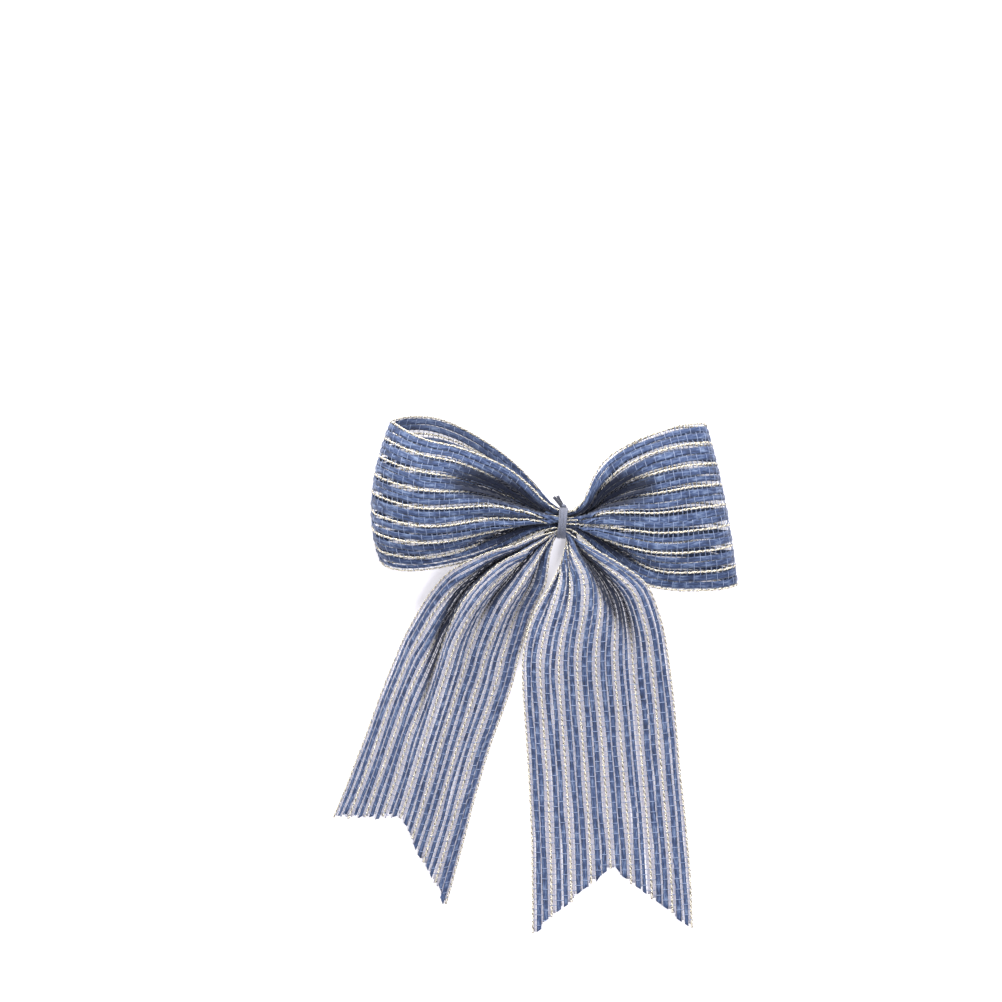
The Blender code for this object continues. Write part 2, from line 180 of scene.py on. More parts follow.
def spunYarn(name, dark, pale):
    # Spun polyester tying yarn: matt and softly hairy, with its strands darker between
    return grainyThread(name, {
        "low": (0.35, dark), "high": (0.65, pale), "bump": (0.6, 0.0001),
        "stretch": (0.8, 5.0), "scale": 2.5, "detail": 5.0,
        "surface": {"Roughness": 0.85, "Sheen Weight": 0.4}})


# ---- threads as geometry ----

class ThreadMesh:
    # gathers many tubes into one closed-tube mesh with a threadMap and a material for each thread
    def __init__(self):
        self.points, self.quads, self.caps, self.depths = [], [], [], []
        self.quadUvs, self.capUvs = [], []
        self.quadSlots, self.capSlots = [], []
        self.count, self.threadNumber = 0, 0

    def tube(self, path, normals, halfWide, halfHigh, sides, slot, closed=False, endSlope=0.0, depth=0.0):
        # a tube with an elliptical section: halfWide across the surface, halfHigh along its normal;
        # endSlope slants its last cut, as one snip across many threads does;
        # depth is how much painted shade each ring gets, mostly from how far down a fold it is
        path = np.asarray(path, float)
        n = len(path)
        if n < 2:
            return
        if closed:
            along = np.roll(path, -1, 0) - np.roll(path, 1, 0)
        else:
            along = np.gradient(path, axis=0)
        along /= np.linalg.norm(along, axis=1, keepdims=True) + tiny
        side = np.cross(along, normals)
        side /= np.linalg.norm(side, axis=1, keepdims=True) + tiny
        up = np.cross(side, along)
        wide = np.broadcast_to(np.asarray(halfWide, float), (n,))
        high = np.broadcast_to(np.asarray(halfHigh, float), (n,))
        turn = 2 * np.pi * np.arange(sides) / sides
        ring = (side[:, None] * (wide[:, None] * np.cos(turn))[..., None]
                + up[:, None] * (high[:, None] * np.sin(turn))[..., None] + path[:, None])
        ring[-1] += along[-1] * (wide[-1] * np.cos(turn) * endSlope)[:, None]
        ring[..., 2] = np.maximum(ring[..., 2], tableGap)  # threads flatten against the table they lie on
        length = np.concatenate([[0], np.cumsum(np.linalg.norm(np.diff(path, axis=0), axis=1))]) / mm
        start = self.count
        rows = n if closed else n - 1
        i = np.arange(rows)[:, None]
        j = np.arange(sides)[None]
        nextRow, nextSide = (i + 1) % n, (j + 1) % sides
        quads = np.stack([i * sides + j, nextRow * sides + j,
                          nextRow * sides + nextSide, i * sides + nextSide], -1)
        self.quads.append(quads.reshape(-1, 4) + start)
        lengths = np.append(length, length[-1] + 0.5)
        near, far = lengths[i + 0 * j], lengths[i + 1 + 0 * j]
        u = np.stack([near, far, far, near], -1)
        v = np.stack([j + 0 * i, j + 0 * i, j + 1 + 0 * i, j + 1 + 0 * i], -1) / sides + self.threadNumber
        self.quadUvs.append(np.stack([u, v], -1).reshape(-1, 2))
        self.quadSlots.append(np.full(rows * sides, slot))
        self.points.append(ring.reshape(-1, 3))
        self.depths.append(np.repeat(np.broadcast_to(np.asarray(depth, float), (n,)), sides))
        self.count += n * sides
        if not closed:
            for row, flip in ((0, False), (n - 1, True)):
                around = start + row * sides + np.arange(sides)
                self.caps.append(around[::-1] if flip else around)
                self.capUvs.append(np.tile([length[row], self.threadNumber + 0.5], (sides, 1)))
                self.capSlots.append(slot)
        self.threadNumber += 1

    def finish(self, name, materials):
        points = np.concatenate(self.points)
        quads = np.concatenate(self.quads)
        faces = quads.tolist() + [cap.tolist() for cap in self.caps]
        mesh = bpy.data.meshes.new(name)
        mesh.from_pydata(points.tolist(), [], faces)
        uvs = np.concatenate(self.quadUvs + self.capUvs)
        layer = mesh.uv_layers.new(name="threadMap")
        layer.data.foreach_set("uv", uvs.reshape(-1).astype(np.float32))
        # each point's amount of painted shade, which the ribbon materials mix towards navy
        depth = mesh.attributes.new("paintedShade", "FLOAT", "POINT")
        depth.data.foreach_set("value", np.concatenate(self.depths).astype(np.float32))
        slots = np.concatenate(self.quadSlots + [np.array(self.capSlots, int)])
        for material in materials:
            mesh.materials.append(material)
        mesh.polygons.foreach_set("material_index", slots.astype(np.int32))
        mesh.polygons.foreach_set("use_smooth", np.ones(len(faces), bool))
        mesh.update()
        made = bpy.data.objects.new(name, mesh)
        bpy.context.scene.collection.objects.link(made)
        return made


# ---- the ribbon's surface ----

ribbon = {
    "width": 63.0 * mm,
    "rowStep": 0.5 * mm,  # the surface's rows
    "columns": 85,
    "weftEvery": 4,  # rows, so wefts lie 2 mm apart
    "goldThreads": 9,
    "bluePlaces": (0.34, 0.67),  # between one gold thread and the next
    "blueHalfWide": 0.98 * mm,
    "blueHalfHigh": 0.17 * mm,
    "foilPlyRadius": 0.26 * mm,
    "creamPlyRadius": 0.29 * mm,
    "goldPitch": 2.4 * mm,
    "weftRadius": 0.13 * mm,
    "groundPlaces": (0.085, 0.16, 0.505, 0.84, 0.915),  # sheer threads between one gold thread and the next
    "groundHalfWide": 0.26 * mm,
    "groundHalfHigh": 0.07 * mm,
    "floorHeight": 0.6 * mm,
}
pleating = {
    "turnStarts": 0.47,  # share of a loop's length where its end fold begins to turn the pleats over
    "turnTakes": 0.06,
    "wander": 0.012,  # of the ribbon's width
    "ripple": 0.04,
    "calmEdge": 0.07,  # share of the width beside each selvedge where pleats die out
    "crowdAnywhere": 0.3,
    "darkAt": 3.8 * mm,  # down a fold
    "farShade": 0.25,
    "settle": 0.25 * mm,  # how softly cloth comes to rest on the table
}


def throughRibs(ribs, at):
    # Catmull-Rom through the ribs, numbered from 0
    last = len(ribs) - 1
    k = np.clip(at.astype(int), 0, last - 1)
    t = (at - k)[:, None, None]
    p0, p1, p2, p3 = (ribs[np.clip(k + i, 0, last)] for i in (-1, 0, 1, 2))
    return 0.5 * (2 * p1 + (p2 - p0) * t + (2 * p0 - 5 * p1 + 4 * p2 - p3) * t**2
                  + (3 * p1 - p0 - 3 * p2 + p3) * t**3)


def smoothStep(value):
    value = np.clip(value, 0, 1)
    return value * value * (3 - 2 * value)


def surfaceNormals(grid):
    normals = np.cross(np.gradient(grid, axis=0), np.gradient(grid, axis=1))
    return normals / (np.linalg.norm(normals, axis=2, keepdims=True) + tiny)


def rowLengths(grid):
    return np.linalg.norm(np.diff(grid, axis=1), axis=2).sum(axis=1)


def blurRows(values, reach):
    kernel = np.hanning(2 * reach + 3)[1:-1]
    kernel /= kernel.sum()
    padded = np.concatenate([np.repeat(values[:1], reach, 0), values, np.repeat(values[-1:], reach, 0)])
    return sum(k * padded[i:i + len(values)] for i, k in enumerate(kernel))


def ribSurface(shape):
    # the smooth cloth before it is pleated: rows a step apart along it,
    # and a parabola through each rib's three points
    ribs = np.array(shape["ribs"], float) * mm
    at = np.linspace(0, len(ribs) - 1, 60 * len(ribs))
    points = throughRibs(ribs, at)
    travelled = np.linalg.norm(np.diff(points, axis=0), axis=2).mean(axis=1)
    travelled = np.concatenate([[0], np.cumsum(travelled)])
    rows = int(travelled[-1] / ribbon["rowStep"])
    at = np.interp(np.arange(rows) * ribbon["rowStep"], travelled, at)
    points = throughRibs(ribs, at)
    v = np.linspace(0, 1, 4 * (ribbon["columns"] - 1) + 1)[None, :, None]
    first, middle, second = points[:, None, 0], points[:, None, 1], points[:, None, 2]
    base = first * (1 - v) * (1 - 2 * v) + middle * 4 * v * (1 - v) + second * v * (2 * v - 1)
    return base, v[0, :, 0][None]


def foldHeights(shape, fromWaist, v, half, side):
    # the broad folds' height off the smooth cloth, and how much cloth each one tucks away
    height = np.zeros((len(fromWaist), v.shape[1]))
    hidden = np.zeros(height.shape)
    for centre, wide, high, start, full, end, backShare, lastCentre in shape["folds"]:
        grows = smoothStep((fromWaist - start) / max(full - start, 0.1))
        grows = grows * (1 - smoothStep((fromWaist - full) / (end - full)))
        middle = centre + (lastCentre - centre) * smoothStep((fromWaist - start) / (end - start))
        share = 1 - half + half * backShare
        bell = np.exp(-((v - middle) / wide) ** 2)
        height = height + high * mm * grows * share * side * bell
        hidden = hidden + max(-high, 0) / 4 * grows * bell
    return height, hidden


def spreadThreads(pleated, hidden):
    # threads lie evenly on the crests, and crowd where the cloth is tucked away; returns where each column lies
    step = np.linalg.norm(np.diff(pleated, axis=1), axis=2)
    missing = np.maximum(ribbon["width"] - step.sum(axis=1, keepdims=True), 0)
    crowd = (hidden[:, 1:] + hidden[:, :-1]) * step
    step = step + missing * crowd / crowd.sum(axis=1, keepdims=True)
    return np.concatenate([np.zeros((len(step), 1)), np.cumsum(step, axis=1)], axis=1)


def laySurface(shape):
    # the ribbon's middle surface: smooth between ribs, then pleated towards each weft's full length as far as
    # pleatLimit lets it; where that isn't enough the wefts stay shorter than the ribbon is wide
    base, v = ribSurface(shape)
    rows = len(base)
    normals = surfaceNormals(base) * shape["facing"]
    fromWaist = np.arange(rows)[:, None] * ribbon["rowStep"] / mm
    half, side = 0.0, 1.0
    if shape.get("returns"):
        # nested layers: past the end fold, the back layer's pleats follow the front's
        fromWaist = np.minimum(fromWaist, rows * ribbon["rowStep"] / mm - fromWaist)
        half = smoothStep((np.arange(rows)[:, None] / rows - pleating["turnStarts"]) / pleating["turnTakes"])
        side = 1 - 2 * half
    height, hidden = foldHeights(shape, fromWaist, v, half, side)
    # pleats: flat crests between narrow valleys that take up some of each weft
    pleats = np.zeros(base.shape[:2])
    for centre, wide, weight in shape["valleys"]:
        wander = pleating["wander"] * np.sin(fromWaist / 7 + 40 * centre)
        pleats = pleats - weight * np.exp(-np.abs((v - centre - wander) / wide) ** 1.6)
    tucked = -pleats
    ripple = np.sin(2 * np.pi * (9 * v + shape["seed"]) + 2 * np.sin(fromWaist / 9 + 5 * v))
    pleats = pleats + pleating["ripple"] * ripple
    calm = pleating["calmEdge"]
    pleats = pleats * smoothStep(v / calm) * smoothStep((1 - v) / calm) * side * (1 - 0.5 * half)
    fade = 1 - smoothStep((fromWaist - 8) / shape["pleatReach"])
    limit = (shape["pleatLimit"] * mm * fade + 0.1 * mm)[:, 0]
    low, high = np.zeros(rows), limit.copy()
    for _ in range(12):
        trial = (low + high) / 2
        length = rowLengths(base + normals * (height + pleats * trial[:, None])[..., None])
        short = length < ribbon["width"]
        low, high = np.where(short, trial, low), np.where(short, high, trial)
    deep = blurRows(low, 8)
    raised = height + pleats * deep[:, None]
    pleated = base + normals * raised[..., None]
    hidden = hidden + tucked * (deep / (shape["pleatLimit"] * mm))[:, None] + pleating["crowdAnywhere"]
    length = spreadThreads(pleated, hidden)
    even = np.linspace(0, 1, ribbon["columns"])
    grid = np.zeros((rows, ribbon["columns"], 3))
    for row in range(rows):
        for axis in range(3):
            grid[row, :, axis] = np.interp(even * length[row, -1], length[row], pleated[row, :, axis])
    # painted shade: more down a fold, on tucked cloth near the tie, on the far layer and by each part's own
    # shade
    depth = np.clip(-raised * side / pleating["darkAt"], 0, 1)
    nearTie = 1 - smoothStep((fromWaist - 6) / 26)
    depth = np.maximum(depth, np.clip(tucked, 0, 1) * nearTie * (1 - half))
    # the far layer lies in the near one's shade
    depth = np.maximum(depth, shape["shade"] + pleating["farShade"] * half)
    depth = np.array([np.interp(even * length[row, -1], length[row], depth[row]) for row in range(rows)])
    depth = blurRows(depth, 3)
    grid = blurRows(grid, 3)
    floor, settle = ribbon["floorHeight"], pleating["settle"]
    grid[..., 2] = floor + np.logaddexp(0, (grid[..., 2] - floor) / settle) * settle
    return grid, depth


def cutRows(grid, cut):
    # how many rows each column keeps before the V cut, from the cut's height at both selvedges and the middle
    share = np.linspace(0, 1, grid.shape[1])
    height = np.interp(share, (0, 0.5, 1), np.array(cut) * mm)
    kept = np.full(grid.shape[1], grid.shape[0] - 1)
    for column in range(grid.shape[1]):
        beyond = np.nonzero(grid[:, column, 1] < height[column])[0]
        if len(beyond):
            kept[column] = beyond[0]
    return kept


def between(values, left, share):
    # values on the surface's columns, read between column left and the next
    return values[:, left] * (1 - share) + values[:, left + 1] * share


def threadPlaces(chance):
    # where each lengthwise thread lies, as a share of the width, and whether it is gold
    gaps = ribbon["goldThreads"] - 1
    inset = 0.45 * mm / ribbon["width"]
    places, golden = [], []
    for gold in range(ribbon["goldThreads"]):
        places.append(gold / gaps)
        golden.append(True)
        if gold < gaps:
            for share in ribbon["bluePlaces"]:
                places.append((gold + share + chance.uniform(-0.03, 0.03)) / gaps)
                golden.append(False)
    return np.clip(places, inset, 1 - inset), golden


def layGold(threads, cloth, path, normal, across, left, end, chance):
    # a foil ply and a cream ply round each other; the twist pulls tighter where the cloth is gathered
    start = chance.uniform(0, 6.28)
    turn = cloth["allRows"] * ribbon["rowStep"] / ribbon["goldPitch"] * 2 * np.pi + start
    tight = np.clip(0.35 + 0.65 * cloth["room"][:, left], 0.6, 1.0)
    foil, cream = ribbon["foilPlyRadius"], ribbon["creamPlyRadius"]
    for ply, slot, own, other in ((0, 1, foil, cream), (math.pi, 2, cream, foil)):
        out = other * 0.92
        offset = (across * (np.cos(turn + ply) * out * tight)[:, None]
                  + normal * (np.sin(turn + ply) * out * tight)[:, None])
        radius = own * tight[:end + 1]
        threads.tube((path + offset)[:end + 1], normal[:end + 1], radius, radius, 5, slot,
                     depth=cloth["depth"][:end + 1, left])


def layBlue(threads, cloth, shape, path, normal, left, end, base, chance):
    # a flat yarn of uneven width, squeezed narrower where the cloth is sheared or short
    rows, kept, columns = cloth["rows"], cloth["kept"], cloth["columns"]
    slow = np.interp(cloth["allRows"], np.linspace(0, rows, 22), chance.normal(0, 0.07, 22))
    wide = base * (1 + slow) * (1 - 0.04 * np.cos(2 * np.pi * cloth["allRows"] / ribbon["weftEvery"]))
    squeeze = np.clip(0.16 + 0.84 * cloth["room"][:, left], shape["leastYarn"], 1.05)
    wide = wide * squeeze * shape["yarnSpread"]
    pick = np.arange(0, end + 1, 2)
    slope = (kept[left + 1] - kept[left]) * ribbon["rowStep"] * (columns - 1) / ribbon["width"]
    threads.tube(path[pick], normal[pick], wide[pick], ribbon["blueHalfHigh"], 6, 0,
                 endSlope=-shape["facing"] * slope, depth=cloth["depth"][pick, left])


def layWarp(threads, cloth, shape, places, golden, chance):
    # every lengthwise gold and blue thread; returns each one's half width
    columns, kept, weftEvery = cloth["columns"], cloth["kept"], ribbon["weftEvery"]
    rise = ribbon["blueHalfHigh"] * 0.6
    halfWides = []
    for number, (place, isGold) in enumerate(zip(places, golden)):
        column = place * (columns - 1)
        left = min(int(column), columns - 2)
        share = column - left
        path = between(cloth["grid"], left, share)
        normal = between(cloth["normals"], left, share)
        end = int(kept[left] * (1 - share) + kept[left + 1] * share + chance.uniform(-1, 2) * ("cut" in shape))
        end = min(end, cloth["rows"] - 1)
        # up where it passes over a weft, down where it passes under
        wave = np.cos(np.pi * (cloth["allRows"] / weftEvery + number))
        drift = np.interp(cloth["allRows"], np.linspace(0, cloth["rows"], 14), chance.normal(0, 0.16, 14)) * mm
        across = np.cross(np.gradient(path, axis=0), normal)
        across /= np.linalg.norm(across, axis=1, keepdims=True) + tiny
        path = path + normal * (wave * rise)[:, None]
        if isGold:
            halfWides.append(0.5 * mm)
            path = path + across * (drift * 0.3)[:, None]
            layGold(threads, cloth, path, normal, across, left, end, chance)
        else:
            base = ribbon["blueHalfWide"] * chance.uniform(0.78, 1.26)
            halfWides.append(base)
            path = path + across * drift[:, None]
            layBlue(threads, cloth, shape, path, normal, left, end, base, chance)
    return halfWides


def layGround(threads, cloth, chance):
    # sheer threads level with the wefts, narrowed near the tie; their grey partly paints the table's shade
    # under the tails
    kept = cloth["kept"]
    for share in ribbon["groundPlaces"]:
        for gold in range(ribbon["goldThreads"] - 1):
            column = (gold + share) / (ribbon["goldThreads"] - 1) * (cloth["columns"] - 1)
            left = int(column)
            part = column - left
            end = int(kept[left] * (1 - part) + kept[left + 1] * part + chance.uniform(-1, 1))
            pick = np.arange(0, min(end, cloth["rows"] - 1) + 1, 3)
            grown = 0.2 + 0.8 * smoothStep((pick - 16) / 60)
            wide = ribbon["groundHalfWide"] * cloth["room"][pick, left] * grown
            path = between(cloth["grid"], left, part)
            threads.tube(path[pick], cloth["normals"][pick, left], wide, ribbon["groundHalfHigh"], 4, 4,
                         depth=cloth["depth"][pick, left])


def layWefts(threads, cloth, places, halfWides):
    # each weft goes over one thread and under the next, and the next weft the other way
    across, lift = [], []
    for number, (place, half) in enumerate(zip(places, halfWides)):
        reach = 0.55 * half / ribbon["width"]
        for offset in (-reach, 0, reach):
            across.append(place + offset)
            lift.append((-1) ** number)
        if number < len(places) - 1:
            across.append((place + places[number + 1]) / 2)
            lift.append(0)
    across = np.clip(np.array(across), 0.002, 0.998)
    lift = np.array(lift, float)
    column = across * (cloth["columns"] - 1)
    left = np.minimum(column.astype(int), cloth["columns"] - 2)
    share = (column - left)[:, None]
    keptAcross = cloth["kept"][left]
    radius, weftEvery = ribbon["weftRadius"], ribbon["weftEvery"]
    high = ribbon["blueHalfHigh"] + radius * 0.7
    for row in range(2, cloth["rows"] - 2, weftEvery):
        path = between(cloth["grid"][row][None], left, share)[0]
        normal = between(cloth["normals"][row][None], left, share)[0]
        sign = -1 if (row // weftEvery) % 2 == 0 else 1
        path = path + normal * (lift * sign * high)[:, None]
        inside = keptAcross > row + 1
        edges = np.nonzero(np.diff(np.concatenate([[0], inside.astype(int), [0]])))[0]
        for begin, stop in zip(edges[::2], edges[1::2]):
            if stop - begin > 3:
                threads.tube(path[begin:stop], normal[begin:stop], radius, radius, 4, 3,
                             depth=cloth["depth"][row, left[begin:stop]])


def weave(name, shape, materials):
    # threads laid on the surface: flat blue yarns, twisted gold threads, and fine wefts over and under both
    grid, depth = laySurface(shape)
    rows, columns = grid.shape[:2]
    # how closely threads lie, where the cloth is sheared or short, as a share of their full spacing
    along = np.gradient(grid, axis=0)
    along /= np.linalg.norm(along, axis=2, keepdims=True) + tiny
    sideways = np.gradient(grid, axis=1)
    sideways = sideways - along * (sideways * along).sum(axis=2, keepdims=True)
    room = np.clip(np.linalg.norm(sideways, axis=2) * (columns - 1) / ribbon["width"], 0.3, 1.1)
    cloth = {
        "grid": grid, "depth": depth, "normals": surfaceNormals(grid) * shape["facing"], "room": room,
        "rows": rows, "columns": columns, "allRows": np.arange(rows),
        "kept": cutRows(grid, shape["cut"]) if "cut" in shape else np.full(columns, rows - 1),
    }
    chance = np.random.default_rng(shape["randomSeed"])
    places, golden = threadPlaces(chance)
    threads = ThreadMesh()
    halfWides = layWarp(threads, cloth, shape, places, golden, chance)
    if shape["sheer"]:
        layGround(threads, cloth, chance)
    layWefts(threads, cloth, places, halfWides)
    made = threads.finish(name, materials)
    print(name, "threads", threads.threadNumber, "faces", len(made.data.polygons), "rows", rows,
          "weft length", round(float(rowLengths(grid).mean()) / mm, 1),
          "length along the middle", round(rows * ribbon["rowStep"] / mm, 1))
    return made


# ---- the five lengths of ribbon ----

# ribs: first selvedge, middle and second selvedge, in mm
# folds: centre and width across the ribbon, height in mm, where it starts, is full and ends
#   in mm from the waist, its share on the back layer, and its last centre
# valleys: centre and width across the ribbon, and share of the depth
# yarnSpread and sheer differ between parts of the one ribbon: they stand in for how light comes
#   through one layer or two, and a real ribbon has one weave

leftLoopShape = {
    "ribs": [
        ((0.5, -2.3, 7.0), (0, 1.4, 7.6), (-0.4, 4.6, 7.0)),
        ((-3.6, -2.6, 7.0), (-3.8, 1.9, 7.8), (-3.2, 5.6, 7.0)),
        ((-8.2, -3.9, 6.6), (-8.6, 2.7, 8.8), (-7.6, 9.0, 7.6)),
        ((-14, -6.4, 6.4), (-14.8, 4, 10.4), (-11.4, 13.2, 8.0)),
        ((-22, -10.3, 6.4), (-24, 5, 13.2), (-19.2, 19.7, 9.7)),
        ((-31, -13.6, 7.2), (-34, 6, 17.2), (-28.6, 24.6, 12.5)),
        ((-41, -16.1, 8.4), (-44.5, 7, 21.0), (-40.0, 28.8, 15.6)),
        ((-51, -18, 10.4), (-55, 8, 22.6), (-51.0, 31.3, 17.2)),
        ((-60, -18.6, 11.8), (-64, 9, 20.6), (-59.0, 34.8, 16.2)),
        ((-66.5, -17.4, 10.2), (-70.8, 9.5, 15.4), (-64.3, 38, 12.4)),
        ((-69.6, -15.0, 6.8), (-72.8, 9.5, 8.9), (-65.4, 38.6, 7.9)),
        ((-67, -15.8, 3.2), (-70.5, 9.5, 3.8), (-63.5, 39.6, 4.2)),
        ((-60, -15.4, 1.0), (-63, 12, 1.0), (-58, 40.6, 1.8)),
        ((-50, -13.8, 0.7), (-52, 12.5, 0.7), (-49, 40.1, 1.2)),
        ((-40, -11.8, 0.7), (-41, 12, 0.9), (-40, 36.9, 1.4)),
        ((-30, -9.6, 1.0), (-31, 10, 1.3), (-30, 31.4, 1.8)),
        ((-21, -9.5, 1.6), (-21.5, 6.5, 1.9), (-21, 25, 2.3)),
        ((-13.5, -6, 2.2), (-14, 5, 2.7), (-13.5, 18, 2.9)),
        ((-7.8, -3.4, 2.7), (-8.0, 3.4, 3.2), (-7.4, 10.6, 3.2)),
        ((-3.6, -2.4, 2.8), (-3.8, 2.0, 3.2), (-3.2, 6.4, 3.2)),
        ((0.4, -2.3, 2.8), (0, 1.4, 3.2), (-0.3, 4.8, 3.2)),
    ],
    "folds": [
        (0.71, 0.13, -3.2, 0, 16, 58, 0.2, 0.71),
        (0.48, 0.06, 1.6, 0, 13, 50, 0.1, 0.48),
        (0.30, 0.055, 2.2, 0, 13, 52, 0.1, 0.30),
        (0.22, 0.16, 2.4, 22, 52, 94, 0.0, 0.20),
        (0.66, 0.12, 0.9, 40, 62, 90, 0.0, 0.70),
    ],
    "valleys": [(0.71, 0.11, 1.0), (0.395, 0.022, 0.35), (0.15, 0.055, 1.0)],
    "returns": True, "leastYarn": 0.85, "yarnSpread": 1.2, "sheer": False, "shade": 0.0,
    "facing": -1, "pleatLimit": 5.6, "pleatReach": 46,
    "seed": 0.1, "randomSeed": 11, "cutLength": 0.170, "body": "left_loop", "blendTo": -11,
}
rightLoopShape = {
    "ribs": [
        ((-0.5, -2.3, 7.0), (0, 1.4, 7.6), (0.4, 4.6, 7.0)),
        ((3.8, -3.4, 6.8), (4.0, 1.2, 7.8), (3.4, 4.4, 7.0)),
        ((8.0, -6.8, 6.0), (8.6, 1.6, 8.8), (7.8, 8.4, 7.6)),
        ((13, -11.2, 5.6), (14.5, 3, 10.4), (12.4, 18.8, 8.2)),
        ((22, -18.8, 5.6), (24, 3.5, 12.6), (17.8, 25.4, 9.6)),
        ((31, -24, 6.6), (34, 4, 15.0), (27.6, 31.2, 11.2)),
        ((42, -26.2, 9.0), (44, 5, 17.2), (38.4, 35.2, 12.8)),
        ((52, -26.4, 10.4), (50, 5.2, 17.2), (43.6, 36.8, 13.0)),
        ((60, -26.0, 10.4), (56.5, 6, 15.8), (50.5, 37.9, 12.4)),
        ((65.2, -24.9, 8.8), (60.8, 6.5, 12.4), (53.8, 37.9, 9.8)),
        ((66.8, -24.1, 5.6), (62.2, 7, 7.6), (54.9, 36.9, 6.6)),
        ((64.5, -24.6, 2.4), (60, 6.8, 3.0), (53, 36.8, 3.2)),
        ((57, -22.5, 0.9), (53, 5.5, 0.9), (46, 36.6, 1.2)),
        ((47, -22, 0.7), (44, 5, 0.8), (38, 35.2, 1.0)),
        ((37, -21, 0.8), (34.5, 4.5, 0.9), (29, 31.2, 1.2)),
        ((27, -18, 1.1), (25, 3.5, 1.4), (21, 26.2, 1.8)),
        ((18, -15, 1.7), (17, 3.4, 2.0), (14.5, 18.6, 2.4)),
        ((12.5, -10.6, 2.2), (12, 3, 2.7), (10.8, 12.4, 2.8)),
        ((7.8, -6.4, 2.7), (8.0, 1.6, 3.2), (7.4, 7.6, 3.2)),
        ((3.8, -3.2, 2.8), (4.0, 1.2, 3.2), (3.4, 4.6, 3.2)),
        ((-0.4, -2.3, 2.8), (0, 1.4, 3.2), (0.3, 4.6, 3.2)),
    ],
    "folds": [
        (0.68, 0.12, -3.0, 0, 15, 52, 0.2, 0.68),
        (0.51, 0.055, 1.4, 0, 13, 46, 0.1, 0.51),
        (0.40, 0.045, 1.0, 0, 13, 44, 0.1, 0.40),
        (0.25, 0.055, 2.2, 0, 14, 50, 0.1, 0.25),
        (0.20, 0.15, 1.8, 20, 46, 80, 0.0, 0.20),
        (0.75, 0.13, 1.2, 26, 50, 80, 0.0, 0.75),
    ],
    "valleys": [(0.69, 0.10, 1.0), (0.46, 0.022, 0.35), (0.33, 0.022, 0.3), (0.12, 0.05, 1.0)],
    "returns": True, "leastYarn": 0.8, "yarnSpread": 1.2, "sheer": False, "shade": 0.0,
    "facing": 1, "pleatLimit": 5.6, "pleatReach": 42,
    "seed": 0.55, "randomSeed": 12, "cutLength": 0.158, "body": "right_loop", "blendTo": 11,
}
leftTailShape = {
    "ribs": [
        ((0.0, -2.8, 7.2), (0.0, -3.9, 6.6), (0.0, -4.8, 5.2)),
        ((-3.4, -3.6, 7.6), (-3.2, -5.0, 7.0), (-2.6, -5.9, 5.2)),
        ((-8.0, -4.8, 8.4), (-6.8, -7.6, 8.2), (-4.0, -9.8, 5.4)),
        ((-12.6, -6.4, 9.2), (-10.3, -10.2, 9.2), (-4.9, -13.6, 5.4)),
        ((-18, -8.5, 10.0), (-14.6, -14.4, 10.4), (-5.5, -18.8, 4.6)),
        ((-26, -10.5, 10.8), (-20.8, -20, 11.4), (-6.6, -24.8, 3.8)),
        ((-34, -13.7, 11.6), (-27, -27, 12.0), (-10.6, -33, 2.6)),
        ((-43.4, -18.9, 10.8), (-33.5, -35.5, 11.0), (-13.6, -42, 2.2)),
        ((-51, -27.5, 7.4), (-39, -45.5, 8.6), (-16.4, -51.5, 1.8)),
        ((-56.8, -37, 4.6), (-43.2, -55, 6.8), (-18.6, -61, 1.5)),
        ((-61.8, -46.5, 2.8), (-47.0, -65, 5.4), (-21.9, -71, 1.2)),
        ((-68.8, -63.5, 1.4), (-52.6, -82, 4.0), (-27.4, -86, 0.9)),
        ((-76.4, -84, 0.8), (-58.2, -102, 2.8), (-32.8, -104, 0.7)),
        ((-83, -101, 0.7), (-63.5, -121, 1.6), (-37.8, -123, 0.7)),
        ((-92, -123, 0.7), (-70.5, -147, 0.8), (-45.2, -150, 0.7)),
    ],
    "folds": [
        (0.10, 0.05, 1.0, 2, 22, 60, 0, 0.10),
        (0.17, 0.06, -4.2, 8, 40, 110, 0, 0.44),
        (0.33, 0.09, 3.4, 4, 40, 116, 0, 0.60),
        (0.72, 0.06, 1.4, 2, 26, 70, 0, 0.72),
    ],
    "valleys": [(0.19, 0.055, 1.0), (0.56, 0.045, 1.0), (0.86, 0.04, 0.6)],
    "leastYarn": 0.72, "yarnSpread": 0.9, "sheer": True, "shade": 0.1,
    "facing": 1, "pleatLimit": 4.6, "pleatReach": 56, "cut": (-113, -113, -147.3),
    "seed": 0.3, "randomSeed": 13, "cutLength": 0.155, "cutArea": 0.155 * 0.063 * 0.93, "body": "left_tail",
    "blendTo": -8,
}
